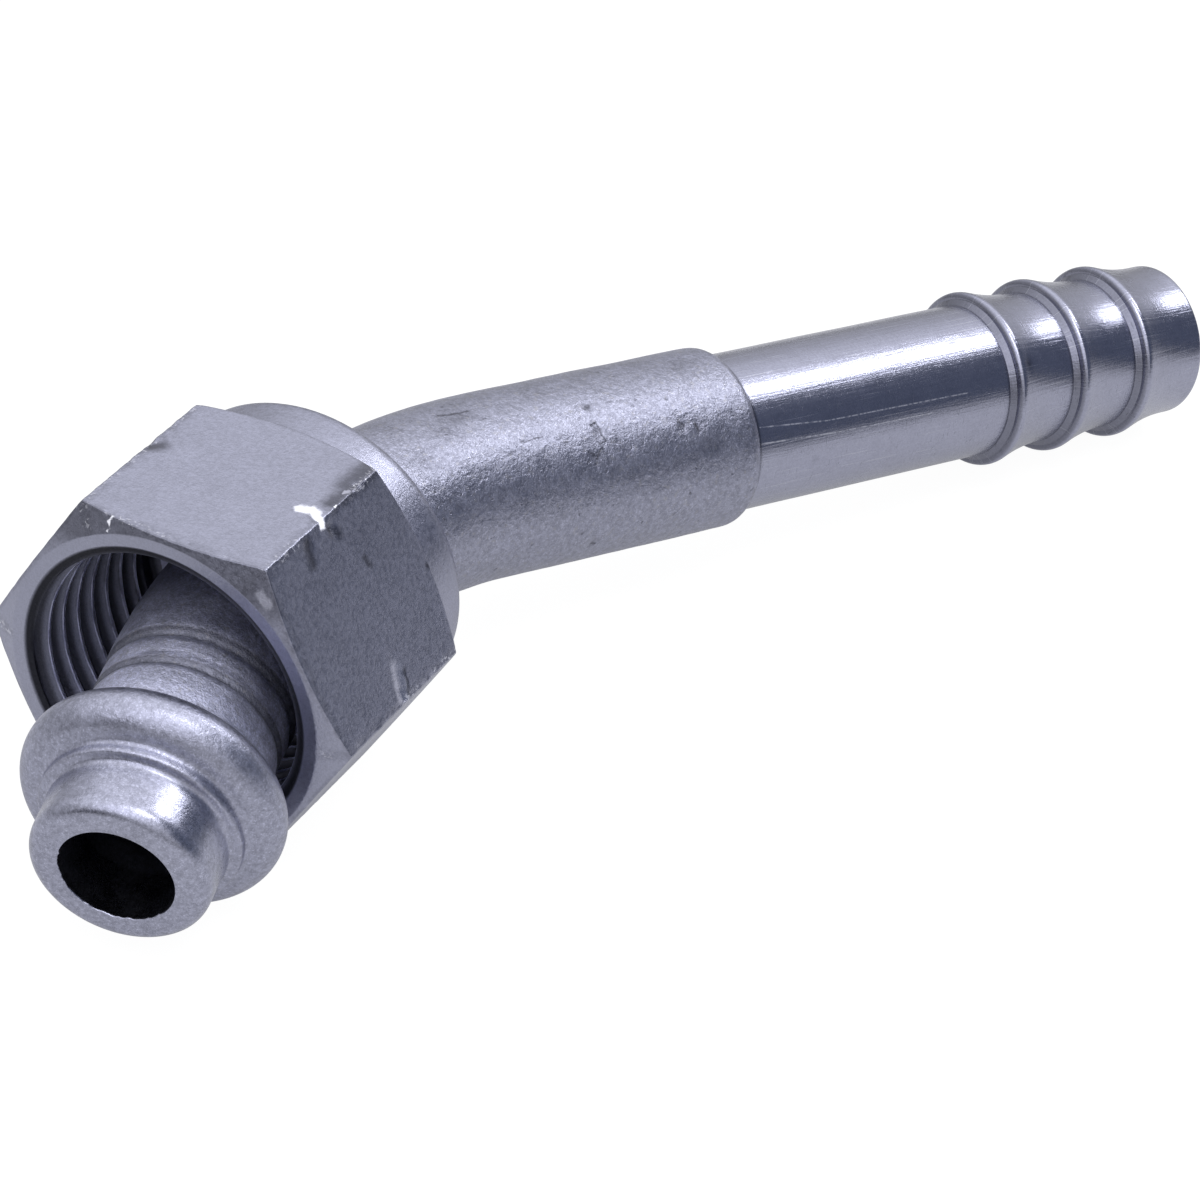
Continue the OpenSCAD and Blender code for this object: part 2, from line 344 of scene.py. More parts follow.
tube = {
    "around": 144,
    "radius": 6.2,
    "boreRadius": 4.5,
    "tipBore": 3.65,
    "tipBoreLength": 9,
    "pilotRadius": 5.7,
    "pilotLength": 4.0,
    "noseRound": 1.0,
    "stepRadius": 6.4,
    "neckRadius": 6.1,
    "beadAt": 6.65,
    "beadRing": 6.6,
    "beadRound": 1.75,
    "rimRound": 0.12,
    "fillet": 0.4,
    "stepRound": 0.22,
    # place, depth and half width of each groove behind the bead
    "grooves": [(12.05, 0.15, 0.42), (12.95, 0.04, 0.25), (14.42, 0.17, 0.45), (14.98, 0.04, 0.15)],
    # the band behind the bead is slightly crowned: place, height and half width
    "crown": (10.3, 0.05, 1.3),
    # where the neck grows to the full radius, and where the finely sampled neck ends
    "neckRise": (14.6, 0.7),
    "neckEnd": 15.6,
    "boreTaper": 0.85,
    "endRound": 0.9,
    "socketRadius": 5.45,
    "socketLength": 9,
    "softenings": 7,
    # gentle unevenness: noise scale, seed and size, and its share on the body and on the head
    "swell": (0.28, 3.1, 0.035),
    "pock": (0.9, 7.7, 0.014),
    "unevenBody": 0.9,
    "unevenHead": 0.35,
    # where the head's share begins to grow into the body's, and over what length
    "bodyGrowth": (8.5, 6),
    # keeps the swells inside the CAD box
    "inset": 0.03,
    # the ragged lower edge of the tip's bore: noise scale, seed and size, radius of the noise's
    # circle, middle of the arc and how much of it, reach along and outward, strength
    "rimNoise": (1.6, 5.0, 0.22),
    "rimWheel": 6,
    "rimMiddle": 190,
    "rimShare": 0.2,
    "rimReach": (0.35, 0.3),
    "rimCut": 0.8,
    # dents: from tip, angle, half length, half width, depth
    "dents": [
        (50.4, 17, 0.35, 0.75, 0.10),
        (50.6, 358, 0.28, 0.28, 0.16),
        (56.9, 25, 0.28, 0.4, 0.10),
        (58.1, 27, 0.3, 0.5, 0.08),
        (49.6, 33, 0.3, 0.5, 0.07),
        (41.8, 340, 1.4, 0.8, 0.07),
        (39.9, 350, 0.9, 0.7, 0.07),
        (45.4, 13, 0.9, 0.12, 0.05),
        (58.9, 40, 1.0, 0.4, 0.05),
        (59.4, 337, 0.8, 0.8, 0.06),
        (49.9, 92, 0.25, 0.3, 0.06),
        (37.0, 4, 1.2, 1.0, 0.08),
    ],
    # the dents are also painted darker by their depth: painted shade in the dents
    "dentShade": 12,
    # dark marks: start and end as (from tip, round from the bend's upper side), half width
    "lines": [
        ((50.15, 1.25, 0), (50.6, 1.15, 0), 0.07),
        ((50.6, 1.15, 0), (50.75, 2.5, 0), 0.07),
        ((50.75, 2.5, 0), (50.3, 2.65, 0), 0.08),
        ((50.35, 2.9, 0), (49.75, 3.6, 0), 0.09),
        ((49.75, 3.3, 0), (49.3, 3.1, 0), 0.07),
        ((50.62, -0.2, 0), (50.7, -0.25, 0), 0.15),
        ((56.7, 2.3, 0), (57.05, 2.7, 0), 0.08),
        ((57.9, 2.7, 0), (58.1, 3.2, 0), 0.08),
        ((44.6, 1.45, 0), (46.3, 1.35, 0), 0.05),
        ((40.6, -2.5, 0), (42.6, -2.1, 0), 0.09),
        ((49.8, 9.9, 0), (50.0, 10.0, 0), 0.12),
    ],
    # finish, in millimetres from the tip: where each stretch fades in or out
    "pilotFade": (3.6, 4.2),
    "beadFade": (8.0, 9.0),
    "neckFade": (8.4, 9.4),
    # inside the nut the tube's colour is painted lighter: painted light
    "nutStartFade": (8.9, 10.0),
    "bendFade": (15.0, 19.0),
    "nutEndFade": (17.0, 22.0),
    # painted shade in rings, in the crease behind the bead and in the grooves: middle, inner and outer
    # half width
    "beadShade": (8.75, 0.12, 0.4),
    "grooveShades": [(14.75, 0.25, 0.5), (12.25, 0.2, 0.42)],
    "bumpDepth": 0.00013,
    "sharp": 40,
}


def neckRadius(a):
    riseStart, riseLength = tube["neckRise"]
    growth = (tube["radius"] - tube["neckRadius"]) * ease((a - riseStart) / riseLength)
    r = tube["neckRadius"] + growth
    for at, depth, half in tube["grooves"]:
        r -= depth * hump((a - at) / half)
    at, height, half = tube["crown"]
    return r + height * hump((a - at) / half)


def tubeProfile():
    t = tube
    rim, fillet, stepRound = t["rimRound"], t["fillet"], t["stepRound"]
    pilotTop = t["pilotRadius"] - t["noseRound"]
    path = []
    arc(path, (rim, t["tipBore"] + rim), rim, 270, 180, 0.05)
    line(path, (0, pilotTop), 0.12)
    arc(path, (t["noseRound"], pilotTop), t["noseRound"], 180, 90, 0.1)
    line(path, (t["pilotLength"] - fillet, t["pilotRadius"]), 0.13)
    arc(path, (t["pilotLength"] - fillet, t["pilotRadius"] + fillet), fillet, 270, 352, 0.08)
    arc(path, (t["pilotLength"] + stepRound, t["stepRadius"] - stepRound), stepRound, 170, 90, 0.06)
    line(path, (t["beadAt"] - t["beadRound"] - 0.05, t["stepRadius"]), 0.1)
    arc(path, (t["beadAt"], t["beadRing"]), t["beadRound"], 176, 2, 0.12)
    rear = t["beadAt"] + t["beadRound"]
    arc(path, (rear + fillet, t["neckRadius"] + fillet), fillet, 184, 270, 0.08)
    for a in np.arange(rear + fillet + 0.05, t["neckEnd"], 0.065):
        path.append((a, float(neckRadius(a))))
    line(path, (route["headLength"] + bendLength, t["radius"]), 0.3)
    roundStart = tubeLength - t["endRound"]
    line(path, (roundStart, t["radius"]), 0.22)
    arc(path, (roundStart, t["radius"] - t["endRound"]), t["endRound"], 90, 20, 0.1)
    line(path, (tubeLength, t["socketRadius"]), 0.1)
    outside = len(path)
    socketFloor = tubeLength - t["socketLength"]
    line(path, (socketFloor, t["socketRadius"]), 1.5)
    line(path, (socketFloor, t["boreRadius"]), 0.5)
    line(path, (t["tipBoreLength"] + t["boreTaper"], t["boreRadius"]), 1.0)
    line(path, (t["tipBoreLength"], t["tipBore"]), 0.5)
    line(path, (rim * 2, t["tipBore"]), 0.8)
    return np.array(path), outside


def makeTube():
    t = tube
    path, outside = tubeProfile()
    for _ in range(t["softenings"]):  # soften the joins of the outer profile
        inner = path[3:outside - 3]
        path[3:outside - 3] = inner * 0.5 + (path[2:outside - 4] + path[4:outside - 2]) * 0.25
    centre, _, side = alongTube(path[:, 0])
    angle = np.linspace(0, 2 * math.pi, t["around"], endpoint=False)
    out = np.cos(angle)[None, :, None] * tubeZ + np.sin(angle)[None, :, None] * side[:, None, :]
    radius = np.repeat(path[:, 1:2], t["around"], 1)
    start = (centre[:, None, :] + radius[:, :, None] * out).reshape(-1, 3)
    shape = radius.shape
    a = np.repeat(path[:, 0:1], t["around"], 1)
    isOutside = np.zeros(shape)
    isOutside[:outside] = 1
    growStart, growLength = t["bodyGrowth"]
    body = ease((a - growStart) / growLength) * isOutside
    head = (1 - body) * isOutside
    uneven = (roll(start, *t["swell"]) + roll(start, *t["pock"])).reshape(shape)
    radius = radius + uneven * (body * t["unevenBody"] + head * t["unevenHead"])
    radius -= t["inset"] * isOutside
    dent = press(angle, a, t["dents"], t["radius"])
    radius -= dent * isOutside
    # the lower edge of the bore at the tip is ragged
    inward, outward = t["rimReach"]
    rim = np.exp(-((a - 0.1) / inward) ** 2) * np.exp(-((radius - t["tipBore"]) / outward) ** 2)
    wheel = np.stack([np.cos(angle), np.sin(angle), angle * 0], -1) * t["rimWheel"]
    lower = np.cos(angle - math.radians(t["rimMiddle"])) > t["rimShare"]
    radius -= rim * (np.abs(roll(wheel, *t["rimNoise"])) * lower * t["rimCut"])[None, :]
    points = centre[:, None, :] + radius[:, :, None] * out
    halfTurn = np.mod(angle + math.pi, 2 * math.pi) - math.pi
    arcPlace = np.repeat((halfTurn * t["radius"])[None, :], len(path), 0)
    return ringMesh("elbowTube", points[::-1], {
        "skin": np.stack([a, arcPlace, 1 - isOutside], -1)[::-1],
        "dent": np.clip(dent[::-1] * t["dentShade"], 0, 1),
    }, t["sharp"])


tubePiece = makeTube()
print("elbow tube made,", len(tubePiece.data.polygons), "faces")


# barbed hose stem: profile distances run from the elbow's end

stem = {
    "around": 160,
    "radius": 5.4,
    "boreRadius": 4.0,
    "inSocket": 9,
    "length": 39.9,
    "barbs": 3,
    "barbRadius": 6.2,
    "rootRadius": 5.4,
    "pitch": 5.8,
    "lastFoot": 6.5,
    "lead": 0.11,
    "coneRise": 0.35,
    "dome": 0.38,
    "flank": 0.85,
    "land": 0.15,
    "slope": 4.7,
    "slopeSteps": 26,
    # the fine turned step at the top of each cone: length and drop
    "nick": 0.03,
    "tipRound": 0.3,
    "mouthRound": 0.15,
    # gentle unevenness: noise scale, seed and size, and how far the skin is drawn in for it
    "swell": (0.22, 1.3, 0.012),
    "inset": 0.01,
    # dents: from the elbow's end, angle, half length, half width, depth
    "dents": [
        (18.35, 3, 0.16, 0.16, 0.05),
        (10.5, 59, 0.2, 0.12, 0.03),
        (23.4, 33, 0.35, 0.45, 0.05),
        (35.1, 328, 0.5, 0.14, 0.07),
        (5.0, 70, 0.3, 0.3, 0.02),
    ],
    # the dents are also painted darker by their depth: painted shade in the dents
    "dentShade": 20,
    # bright drawn lines: start and end as (from the elbow's end, round), half width
    "lines": [
        ((0.3, 3.4, 0), (6.0, 3.93, 0), 0.05),
        ((6.0, 3.93, 0), (18.1, 4.15, 0), 0.05),
        ((0.3, 4.52, 0), (6.5, 4.85, 0), 0.06),
        ((6.5, 4.85, 0), (15.0, 5.0, 0), 0.04),
    ],
    # painted shade in rings: half widths at the joint with the elbow and on each flank, and how far from
    # the barb's foot
    "gapShade": (0.1, 0.35),
    "flankShade": (0.25, 0.45),
    "flankMiddle": 0.3,
    "bumpDepth": 0.000022,
    "sharp": 30,
}


def barbFeet():
    # where each barb starts, the one nearest the tip first
    last = stem["length"] - stem["lastFoot"]
    return [last - k * stem["pitch"] for k in range(stem["barbs"])]


def stemProfile():
    s = stem
    path = [(-s["inSocket"], s["boreRadius"])]
    line(path, (-s["inSocket"], s["radius"]), 0.7)
    line(path, (0, s["radius"]), 2.5)
    shoulder = s["rootRadius"] + s["coneRise"]
    rise = s["barbRadius"] - s["rootRadius"]
    for foot in reversed(barbFeet()):
        line(path, (foot + s["lead"], s["rootRadius"]), 0.45)
        # a cone, then a fine turned step, then the rounded crest
        cone = foot + s["flank"] - s["dome"]
        line(path, (cone - s["nick"], shoulder), 0.12)
        path.append((cone, shoulder - s["nick"]))
        for turn in range(0, 91, 9):
            a = math.radians(turn)
            climb = shoulder + (s["barbRadius"] - shoulder) * math.sin(a)
            path.append((cone + 0.02 + s["dome"] * (1 - math.cos(a)), climb))
        crestEnd = foot + s["flank"] + s["land"]
        path.append((crestEnd - s["land"] / 2, s["barbRadius"]))
        path.append((crestEnd, s["barbRadius"] - 0.01))
        for i in range(1, s["slopeSteps"] + 1):
            t = i / s["slopeSteps"]
            path.append((crestEnd + s["slope"] * t, s["rootRadius"] + rise * (1 - t) ** 2))
    c, m = s["tipRound"], s["mouthRound"]
    line(path, (s["length"] - c, s["rootRadius"]), 0.3)
    arc(path, (s["length"] - c, s["rootRadius"] - c), c, 90, 0, 0.06)
    line(path, (s["length"], s["boreRadius"] + m), 0.3)
    arc(path, (s["length"] - m, s["boreRadius"] + m), m, 0, -90, 0.06)
    outside = len(path)
    line(path, (1 - s["inSocket"], s["boreRadius"]), 1.5)
    return np.array(path), outside


def makeStem():
    s = stem
    path, outside = stemProfile()
    angle = np.linspace(0, 2 * math.pi, s["around"], endpoint=False)
    z = np.repeat(path[:, 0:1], s["around"], 1)
    radius = np.repeat(path[:, 1:2], s["around"], 1)
    isOutside = np.zeros(z.shape)
    isOutside[:outside] = 1
    spots = np.stack([radius * np.cos(angle), radius * np.sin(angle), z], -1).reshape(-1, 3)
    radius = radius + (roll(spots, *s["swell"]).reshape(z.shape) - s["inset"]) * isOutside
    dent = press(angle, z, s["dents"], s["radius"])
    radius -= dent * isOutside
    spot = np.stack([radius * np.cos(angle), radius * np.sin(angle), z], -1)
    elbowEnd, direction, side = alongTube([tubeLength])
    points = elbowEnd[0] + spot @ np.stack([tubeZ, side[0], direction[0]])
    return ringMesh("hoseStem", points[::-1], {
        "spot": spot[::-1],
        "dent": np.clip(dent[::-1] * s["dentShade"], 0, 1),
    }, s["sharp"])


stemPiece = makeStem()
print("hose stem made,", len(stemPiece.data.polygons), "faces")


# swivel nut, with its origin on the axis at the open face and Y along the axis

nut = {
    "acrossFlats": 22.225,
    "hexLength": 14.6,
    "faceRadius": 10.8,
    "mouthRadius": 10.0,
    # the short countersink: distances from the open face and radii
    "mouthPlaces": (0, 0.12, 0.6),
    "mouthRadii": (10.0, 9.8, 9.05),
    "frontDrop": 0.8,
    "rearDrop": 1.1,
    "collarRadius": 10.85,
    "collarLength": 3.2,
    "collarRound": 0.8,
    "cornerRound": 0.16,
    # small roundings: face, chamfer's front and rear edge, hexagon's end, holes
    "faceRound": 0.08,
    "frontRound": 0.07,
    "rearRound": 0.08,
    "stepRound": 0.05,
    "holeRound": 0.1,
    "holeChamfer": 0.4,
    "perFlat": 34,
    "perCorner": 6,
    "threadPitch": 1.5875,
    "threadMinor": 9.1,
    "threadDepth": 0.72,
    # in shares of half a pitch from the groove's middle: where the crest starts, and a flank's width
    "threadCrest": 0.86,
    "threadFlank": 0.72,
    "threadRows": 150,
    "threadEnd": 11.96,
    "threadStart": 0.35,
    "reliefRadius": 9.85,
    "reliefEnd": 12.83,
    "seatStart": 13.46,
    "seatRound": 0.15,
    "holeRadius": 6.95,
    "holeStart": 15.0,
    # wear of the corners and of the front edge: depth, noise scale and seed, share that is worn
    "cornerWear": (0.05, 1.7, 9.0, 0.6),
    "frontWear": (0.03, 4.5, 2.0, 0.5),
    # how far it reaches from a corner in shape and in colour, and inward and along at the front
    "cornerReach": 0.35,
    "shownReach": 0.6,
    "frontReach": (0.25, 0.7),
    # width of one flat, for nicks that reach round a corner
    "flatWidth": 12.83,
    # nicks: flat, from the open face, across the flat, half sizes, depth
    "nicks": [
        (0, 7.5, 5.2, 0.3, 0.8, 0.06),
        (0, 7.2, 6.3, 0.35, 0.5, 0.22),
        (60, 7.6, -5.6, 0.3, 0.4, 0.25),
        (0, 11.5, 6.25, 0.5, 0.3, 0.14),
        (60, 7.75, 4.5, 0.3, 0.5, 0.12),
        (60, 7.3, 5.7, 0.3, 0.7, 0.2),
        (0, 8.25, -6.2, 0.5, 0.5, 0.12),
        (60, 14.2, 0.7, 0.3, 0.3, 0.08),
        (60, 5.0, -5.6, 0.4, 0.5, 0.10),
    ],
    # bright, grey and dark marks: start, end and half width, in the nut's own frame
    "bareMarks": [
        ((4.8, 7.35, 11.1), (5.4, 7.6, 11.1), 0.42),
        ((5.5, 7.6, 11.1), (6.6, 6.95, 10.8), 0.34),
        ((6.35, 8.7, 11.0), (6.4, 8.9, 11.0), 0.1),
        ((-3.95, 0.5, 11.5), (-4.1, 0.03, 10.2), 0.11),
    ],
    "greyMarks": [
        ((11.75, 7.7, 1.8), (12.6, 7.3, 0.5), 0.6),
        ((6.4, 0.25, 9.6), (6.9, 0.3, 9.1), 0.34),
        ((6.1, 10.2, 11.1), (6.15, 10.6, 11.1), 0.14),
    ],
    "darkMarks": [
        ((6.9, 7.5, 10.3), (7.1, 7.9, 9.9), 0.36),
        ((6.75, 5.1, 10.6), (7.3, 4.7, 9.6), 0.32),
        ((-6.1, 8.0, 11.1), (-5.7, 8.4, 11.1), 0.5),
        ((11.95, 8.35, 1.5), (12.7, 7.8, 0.25), 0.16),
        ((9.98, 14.3, 4.9), (9.98, 14.35, 4.85), 0.2),
        ((8.2, 9.2, 7.8), (8.5, 9.4, 7.3), 0.2),
        ((6.0, 8.8, 11.1), (6.1, 10.6, 11.1), 0.45),
        ((5.8, 11.0, 11.1), (5.9, 13.9, 11.1), 0.65),
    ],
    # finish by radius or distance from the face: where each stretch starts and ends
    "boreFade": (9.9, 10.02),
    "threadFade": (0.03, 0.12),
    # the threads are painted darker, darkest towards their roots: painted shade
    "rootFade": (9.2, 9.6),
    # the thread's crests are painted lighter: painted highlight
    "crestFade": (9.12, 9.18),
    # the countersink is painted darker: painted shade
    "sunkFade": (0.5, 0.65),
    # painted shade on the upper front chamfer: slope, half widths, and its start by radius and by height
    "chamferSlope": 0.394,
    "chamferShade": (0.05, 0.14),
    "chamferFade": (10.74, 10.84),
    "chamferTop": (7.5, 9.3),
    "bumpDepth": 0.000022,
    "sharp": 28,
}
nutPlace = np.array([0, -nut["hexLength"] / 2, nut["acrossFlats"] / 2])
cornerRadius = nut["acrossFlats"] / 2 / math.cos(math.pi / 6)


def nutOutline():
    # polar angle from +Z towards +X, outer radius, flat number and place across it
    half = nut["acrossFlats"] / 2
    r = nut["cornerRound"]
    reach = (half - r) * math.tan(math.pi / 6)
    rows = []
    for flat in range(6):
        a = math.radians(60 * flat)
        normal = np.array([math.sin(a), math.cos(a)])
        side = np.array([math.cos(a), -math.sin(a)])
        for i in range(nut["perFlat"]):  # closer together towards the corners
            t = -math.cos(math.pi * (i + 0.5) / nut["perFlat"])
            t = reach * (0.55 * t + 0.45 * math.sin(math.pi * t / 2))
            p = normal * half + side * t
            rows.append((*p, 60 * flat, t))
        corner = normal * (half - r) + side * reach
        for i in range(nut["perCorner"]):
            b = a + math.radians(60) * (i + 0.5) / nut["perCorner"]
            p = corner + r * np.array([math.sin(b), math.cos(b)])
            if i < nut["perCorner"] / 2:
                rows.append((*p, 60 * flat, reach + 0.1))
            else:
                rows.append((*p, 60 * ((flat + 1) % 6), -reach - 0.1))
    x, z, flats, across = np.array(rows).T
    return np.arctan2(x, z), np.hypot(x, z), flats, across


def bentPath(corners):
    # corners: radius, distance, rounding, samples on the run that leads here
    path = []
    last = None
    for k, (r, y, c, count) in enumerate(corners):
        here = np.array([r, y])
        if last is None:
            path.append(here)
            last = here
            continue
        start = path[-1]
        if c > 0:
            following = np.array(corners[k + 1][:2])
            before = unit(here - last)
            after = unit(following - here)
            cut = min(c, 0.45 * math.dist(here, last), 0.45 * math.dist(here, following))
            first, second = here - before * cut, here + after * cut
        else:
            first = second = here
        for i in range(1, count + 1):
            path.append(start + (first - start) * i / count)
        if c > 0:
            for t in (0.25, 0.5, 0.75, 1.0):
                path.append((1 - t) ** 2 * first + 2 * t * (1 - t) * here + t * t * second)
        last = here
    return np.array(path)


def threadRadius(theta, y):
    phase = np.mod((y - nut["threadStart"]) / nut["threadPitch"] - theta / (2 * math.pi), 1)
    away = np.abs(phase - 0.5) * 2  # 0 in the groove's middle, 1 on the crest
    cut = np.clip((nut["threadCrest"] - away) / nut["threadFlank"], 0, 1)
    return nut["threadMinor"] + nut["threadDepth"] * cut


def nutSections(outer):
    # the profile outside and through the rear hole, once for each place round the hexagon
    n = nut
    end = n["hexLength"] + n["collarLength"]
    drop = cornerRadius - n["faceRadius"]
    rearDrop = cornerRadius - n["collarRadius"]
    hole, chamfer = n["holeRadius"], n["holeChamfer"]
    sections = []
    for reach in outer:
        front = n["frontDrop"] * (reach - n["faceRadius"]) / drop
        rear = n["hexLength"] - n["rearDrop"] * (reach - n["collarRadius"]) / rearDrop
        sections.append(bentPath([
            (n["mouthRadius"], 0, 0, 0),
            (n["faceRadius"], 0, n["faceRound"], 4),
            (reach, front, n["frontRound"], 8),
            (reach, rear, n["rearRound"], 78),
            (n["collarRadius"], n["hexLength"], n["stepRound"], 7),
            (n["collarRadius"], end, n["collarRound"], 6),
            (hole + chamfer, end, n["holeRound"], 6),
            (hole, end - chamfer, n["holeRound"], 2),
            (hole, n["holeStart"], n["holeRound"], 6),
            (n["reliefRadius"], n["seatStart"], n["seatRound"], 8),
            (n["reliefRadius"], n["reliefEnd"], 0, 3),
        ]))
    return np.array(sections)


def nutThreads(theta):
    # the bore from the thread's relief to the countersunk mouth
    n = nut
    y = np.linspace(n["reliefEnd"] - 0.02, 0.02, n["threadRows"])[None, :]
    bore = threadRadius(theta[:, None], y)
    bore = np.maximum(bore, np.interp(y, n["mouthPlaces"], n["mouthRadii"]))
    bore = np.maximum(bore, n["threadMinor"] + y - n["threadEnd"])
    bore = np.minimum(bore, n["mouthRadius"])
    return np.stack([bore, np.repeat(y, len(theta), 0)], -1)


def wear(points, depth, scale, seed, share):
    # how deep an edge is rubbed down, by noise
    bumps = roll(points.reshape(-1, 3), scale, seed, 1.0).reshape(points.shape[:2])
    return depth * np.maximum(share + bumps, 0)


def makeNut():
    n = nut
    theta, outer, flat, across = nutOutline()
    loop = np.concatenate([nutSections(outer), nutThreads(theta)], 1)
    radius, y = loop[..., 0], loop[..., 1]
    turn = theta[:, None]
    points = np.stack([radius * np.sin(turn), y, radius * np.cos(turn)], -1)
    # worn edges, where the flats meet each other and the front chamfer
    onHex = (radius > n["acrossFlats"] / 2 - 0.35) & (y < n["hexLength"])
    reachLeft = (n["acrossFlats"] / 2) * math.tan(math.pi / 6) - np.abs(across)[:, None]
    nearCorner = np.exp(-(reachLeft / n["cornerReach"]) ** 2) * onHex
    inward, backward = n["frontReach"]
    nearEnd = np.exp(-((radius - outer[:, None]) / inward) ** 2) * onHex
    nearEnd *= np.exp(-((y - n["frontDrop"] * 0.3) / backward) ** 2)
    move = -nearCorner * wear(points, *n["cornerWear"]) - nearEnd * wear(points, *n["frontWear"])
    worn = np.maximum(nearEnd, np.exp(-(reachLeft / n["shownReach"]) ** 2) * onHex)
    flat, across = flat[:, None], across[:, None]
    for face, fromFace, place, halfY, halfT, depth in n["nicks"]:
        onNext = flat == (face + 60) % 360
        onLast = flat == (face - 60) % 360
        gap = np.where(flat == face, across - place, 99)
        gap = np.where(onNext, n["flatWidth"] + across - place, gap)
        gap = np.where(onLast, across - n["flatWidth"] - place, gap)
        move -= depth * np.exp(-((y - fromFace) / halfY) ** 2 - (gap / halfT) ** 2) * onHex
    points[..., 0] += move * np.sin(turn)
    points[..., 2] += move * np.cos(turn)
    piece = ringMesh("swivelNut", points.transpose(1, 0, 2), {"worn": worn.T}, n["sharp"])
    piece.location = Vector(nutPlace * mm)
    return piece


nutPiece = makeNut()
print("swivel nut made,", len(nutPiece.data.polygons), "faces")


# materials

aluminium = {
    "tint": (0.36, 0.37, 0.475),
    "bare": (0.80, 0.81, 0.90),
    "pale": (0.60, 0.61, 0.74),
    "dull": (0.40, 0.39, 0.40),
}


def tumbledMetal():
    t = tube
    material, net = newMaterial("tumbledAluminium")
    place = net.millimetres()
    skin = net.stored("skin", 1)
    along, _, inside = net.parts(skin)
    dent = net.stored("dent")
    pilot = 1 - net.step(along, *t["pilotFade"])
    head = 1 - net.step(along, *t["beadFade"])
    neck = net.step(along, *t["neckFade"])
    bend = net.step(along, *t["bendFade"])
    # the stretch inside the nut: its colour is painted lighter there (painted light), and it is rougher
    inNutPaintedLightAndRough = net.step(along, *t["nutStartFade"]) * (1 - net.step(along, *t["nutEndFade"]))
    blotch = net.cloud(place, 0.5, 4.0, 0.68)
    coarse = net.cloud(place, 1.05, 2.0, 0.55)
    fine = net.cloud(place, 2.9, 3.0, 0.65)
    sand = net.cloud(place, 8.5, 2.0, 0.6)
    mottle = net.step(fine, 0.34, 0.66)
    grain = net.step(sand, 0.32, 0.68)
    sparkle = net.step(sand, 0.57, 0.66)
    bubbles = net.vector("ADD", place, net.scaled(net.cloud(place, 2.0), 0.6))
    pits = 1 - net.step(net.cells(bubbles, 0.85), 0.05, 0.13)
    flecks = net.step(net.cloud(net.vector("ADD", place, (9, 4, 2)), 2.6, 2.0, 0.6), 0.60, 0.68)
    marked = net.stretched(net.ragged(skin, place, 2.4, 0.36), (1, 1, 0))
    lines = net.marks(marked, t["lines"], 0.4, 1.6)
    # painted shade: darker rings in the crease behind the bead and in the grooves
    behind = net.band(along, *t["beadShade"])
    grooves = 0.0
    for shade in t["grooveShades"]:
        grooves = net.high(grooves, net.band(along, *shade))
    # the dents are painted darker: painted shade in the dents
    level = 0.60 + 0.36 * blotch + 0.28 * mottle + 0.17 * grain - 0.3 * dent - 0.40 * pits * bend
    level = level * (1 - 0.5 * lines) * (1 - 0.45 * behind) * (1 - 0.6 * grooves) * (1 - 0.1 * bend)
    # the bore is painted darker by half: painted shade inside the tube
    level = level * (1 + 0.4 * inNutPaintedLightAndRough) * (1 - 0.5 * inside) * (1 + 0.22 * sparkle)
    colour = net.scaled(aluminium["tint"], level)
    colour = net.mix(0.3 * flecks * neck * (1 - inside), colour, aluminium["dull"])
    rough = 0.19 + 0.34 * blotch + 0.10 * grain - 0.10 * pilot + 0.16 * inNutPaintedLightAndRough - 0.13 * sparkle
    smooth = 1 - 0.45 * head - 0.3 * pilot
    height = (coarse * (0.40 + 0.16 * bend) + 0.38 * fine + 0.22 * sand) * smooth
    normal = net.bump(height - 0.15 * pits * bend, t["bumpDepth"])
    finishMetal(net, {"Base Color": colour, "Roughness": rough, "Normal": normal})
    return material


def turnedMetal():
    s = stem
    material, net = newMaterial("brightTurnedAluminium")
    spot = net.stored("spot", 1)
    x, y, z = net.parts(spot)
    dent = net.stored("dent")
    turn = net.math("ARCTAN2", y, x) * s["radius"]  # millimetres round the stem
    drawn = net.cloud(net.joined(turn * 5.0, z * 0.12, 0.0), 1.0, 4.0, 0.7)
    lathe = net.cloud(net.joined(turn * 0.2, z * 6.0, 0.0), 1.0, 3.0, 0.7)
    hair = net.cloud(net.joined(turn * 9.0, z * 0.16, 3.0), 1.0, 2.0, 0.5)
    dotted = net.step(net.cloud(net.joined(turn * 0.5, z * 3.0, 1.0), 1.0, 2.0, 0.6), 0.40, 0.55)
    drawnLines = net.marks(net.joined(z, turn, 0.0), s["lines"]) * (0.35 + 0.65 * dotted)
    scratches = net.high(0.35 * net.step(hair, 0.64, 0.70), drawnLines)
    ticks = net.step(net.cloud(net.joined(turn * 1.2, z * 9.0, 7.0), 1.0, 2.0, 0.5), 0.64, 0.70)
    blotch = net.cloud(spot, 0.8, 4.0, 0.7)
    sand = net.step(net.cloud(spot, 7.0, 2.0, 0.6), 0.32, 0.68)
    # painted shade at the joint with the elbow and on each barb's flank
    gap = net.band(z, 0.0, *s["gapShade"])
    paintedFlankShade = 0.0
    for foot in barbFeet():
        paintedFlankShade = net.high(paintedFlankShade, net.band(z, foot + s["flankMiddle"], *s["flankShade"]))
    # the dents are painted darker: painted shade in the dents
    level = 0.74 + 0.16 * drawn + 0.24 * blotch - 0.4 * dent + 0.12 * sand
    level = level * (1 - 0.6 * gap) * (1 - 0.2 * ticks) * (1 - 0.4 * paintedFlankShade)
    colour = net.scaled(aluminium["tint"], level)
    colour = net.mix(0.55 * scratches, colour, aluminium["bare"])
    rough = 0.10 + 0.12 * blotch + 0.10 * drawn + 0.25 * net.high(scratches, 0.5 * ticks)
    height = 0.5 * lathe + 0.8 * drawn + 0.15 * blotch + 0.1 * sand
    normal = net.bump(height, s["bumpDepth"])
    finishMetal(net, {"Base Color": colour, "Roughness": rough, "Normal": normal})
    return material


